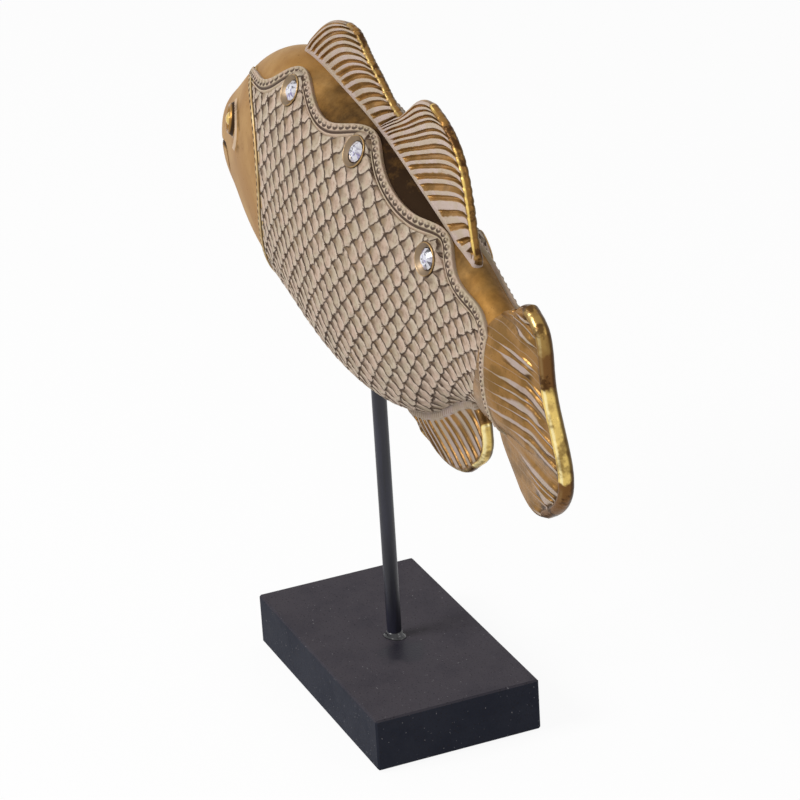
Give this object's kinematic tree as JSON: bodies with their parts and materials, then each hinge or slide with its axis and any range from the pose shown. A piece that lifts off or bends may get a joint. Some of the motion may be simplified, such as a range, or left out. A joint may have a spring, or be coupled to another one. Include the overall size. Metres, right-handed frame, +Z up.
{
  "type": "fish figurine on stand",
  "caption": "Gilded fish figurine with scaled flanks and inset crystals, held level on a thin black rod over a dark painted block.",
  "frame": {"origin": "centre of the felt underside that rests on the table", "axes": "+Z up along the rod, +X towards the tail fin, the head points to -X, and the figurine is symmetric about the XZ plane"},
  "size_m": [0.3218, 0.07, 0.2814],
  "materials": {
    "felt": "matt black felt",
    "block_paint": "wood painted matt charcoal, with fine specks",
    "zinc_steel": "zinc-plated",
    "rod_paint": "satin black",
    "black_glue": "hardened glossy glue",
    "gilt_resin": "cast resin in satin gold paint with a pale rubbed wash in the relief",
    "gold_cup": "bright gold plating",
    "crystal": "clear cut glass with a silvered back"
  },
  "bodies": {
    "root": {"felt_sheet": "felt", "base_block": "block_paint", "base_washer": "zinc_steel", "base_screw": "zinc_steel", "support_rod": "rod_paint", "glue_bead": "black_glue", "fish_body": "gilt_resin", "dorsal_fin": "gilt_resin", "anal_fin": "gilt_resin", "tail_fin": "gilt_resin", "cup_left_front": "gold_cup", "crystal_left_front": "crystal", "cup_left_middle": "gold_cup", "crystal_left_middle": "crystal", "cup_left_rear": "gold_cup", "crystal_left_rear": "crystal", "cup_right_front": "gold_cup", "crystal_right_front": "crystal", "cup_right_middle": "gold_cup", "crystal_right_middle": "crystal", "cup_right_rear": "gold_cup", "crystal_right_rear": "crystal"}
  },
  "joints": []
}
